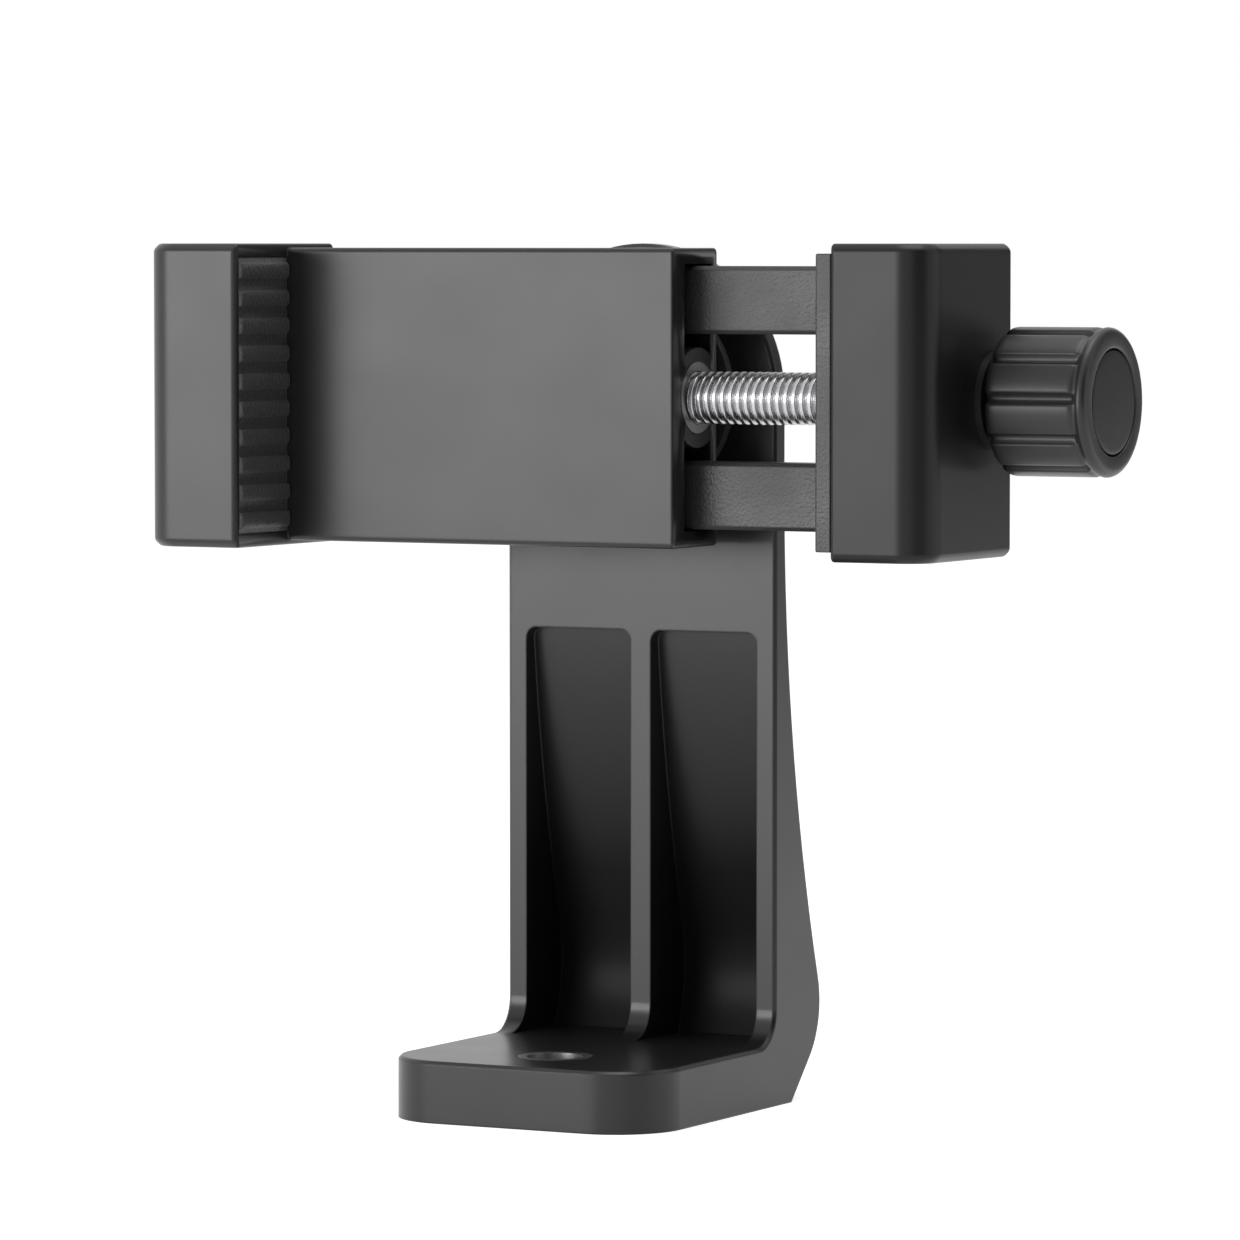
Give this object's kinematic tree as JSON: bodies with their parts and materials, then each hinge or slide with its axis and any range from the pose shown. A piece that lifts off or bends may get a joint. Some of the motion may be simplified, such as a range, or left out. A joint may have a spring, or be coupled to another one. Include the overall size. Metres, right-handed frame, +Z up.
{
  "type": "tripod phone mount adapter",
  "caption": "Screw clamp with padded jaws for a phone, pivoting on an upright arm whose foot takes a tripod screw.",
  "frame": {"origin": "centre of the tripod thread, at the underside of the foot", "axes": "+Z up along the arm, +X the way the moving jaw opens, +Y from the phone's side of the arm to the rear"},
  "size_m": [0.1147, 0.0507, 0.0992],
  "materials": {
    "bracket_plastic": "satin black",
    "clamp_plastic": "satin black",
    "cover_plastic": "satin black",
    "slider_plastic": "fine-grained black",
    "knob_plastic": "satin black",
    "cap_plastic": "semi-gloss black",
    "pad_rubber": "grained black",
    "friction_rubber": "matte black",
    "screw_steel": "bright zinc plated",
    "bolt_steel": "zinc plated",
    "nut_steel": "nickel plated",
    "washer_steel": "plain",
    "clip_steel": "spring steel",
    "small_screw_steel": "zinc plated",
    "insert_brass": "machined"
  },
  "bodies": {
    "bracket": {"bracket_arm": "bracket_plastic", "tripod_insert": "insert_brass", "friction_washer": "friction_rubber"},
    "clamp": {"clamp_body": "clamp_plastic", "clamp_nut": "nut_steel", "pivot_bolt": "bolt_steel", "fixed_pad": "pad_rubber"},
    "moving_jaw": {"jaw_cover": "cover_plastic", "jaw_slider": "slider_plastic", "jaw_screw_upper": "small_screw_steel", "jaw_screw_lower": "small_screw_steel", "moving_pad": "pad_rubber", "thrust_washer": "washer_steel"},
    "clamp_screw_and_knob": {"clamp_screw": "screw_steel", "screw_clip": "clip_steel", "clamp_knob": "knob_plastic", "clamp_knob_cap": "cap_plastic"},
    "loose_washer": {"pivot_washer": "washer_steel"},
    "rear_knob": {"pivot_knob": "knob_plastic", "pivot_knob_nut": "insert_brass", "pivot_knob_cap": "cap_plastic"}
  },
  "joints": [
    {"name": "clamp_pivot", "type": "hinge", "parent": "bracket", "child": "clamp", "pos_m": [0, 0.021, 0.08165], "axis": [0, 1, 0], "range_deg": [-180, 180]},
    {"name": "jaw_travel", "type": "slide", "parent": "clamp", "child": "moving_jaw", "axis": [1, 0, 0], "range_m": [-0.0233, 0.026]},
    {"name": "clamp_knob_turn", "type": "hinge", "parent": "moving_jaw", "child": "clamp_screw_and_knob", "pos_m": [0.05, 0.01213, 0.08165], "axis": [1, 0, 0], "range_deg": [-8389, 9361]},
    {"name": "washer_travel", "type": "slide", "parent": "clamp", "child": "loose_washer", "axis": [0, 1, 0], "range_m": [0, 0.003]},
    {"name": "rear_knob_turn", "type": "hinge", "parent": "loose_washer", "child": "rear_knob", "pos_m": [0, 0.026, 0.08165], "axis": [0, 1, 0], "range_deg": [-1, 1081]}
  ],
  "couplings": [
    {"joint": "clamp_knob_turn", "follows": "jaw_travel", "rad_per_m": 6283.2},
    {"joint": "rear_knob_turn", "follows": "washer_travel", "rad_per_m": 6283.2}
  ]
}
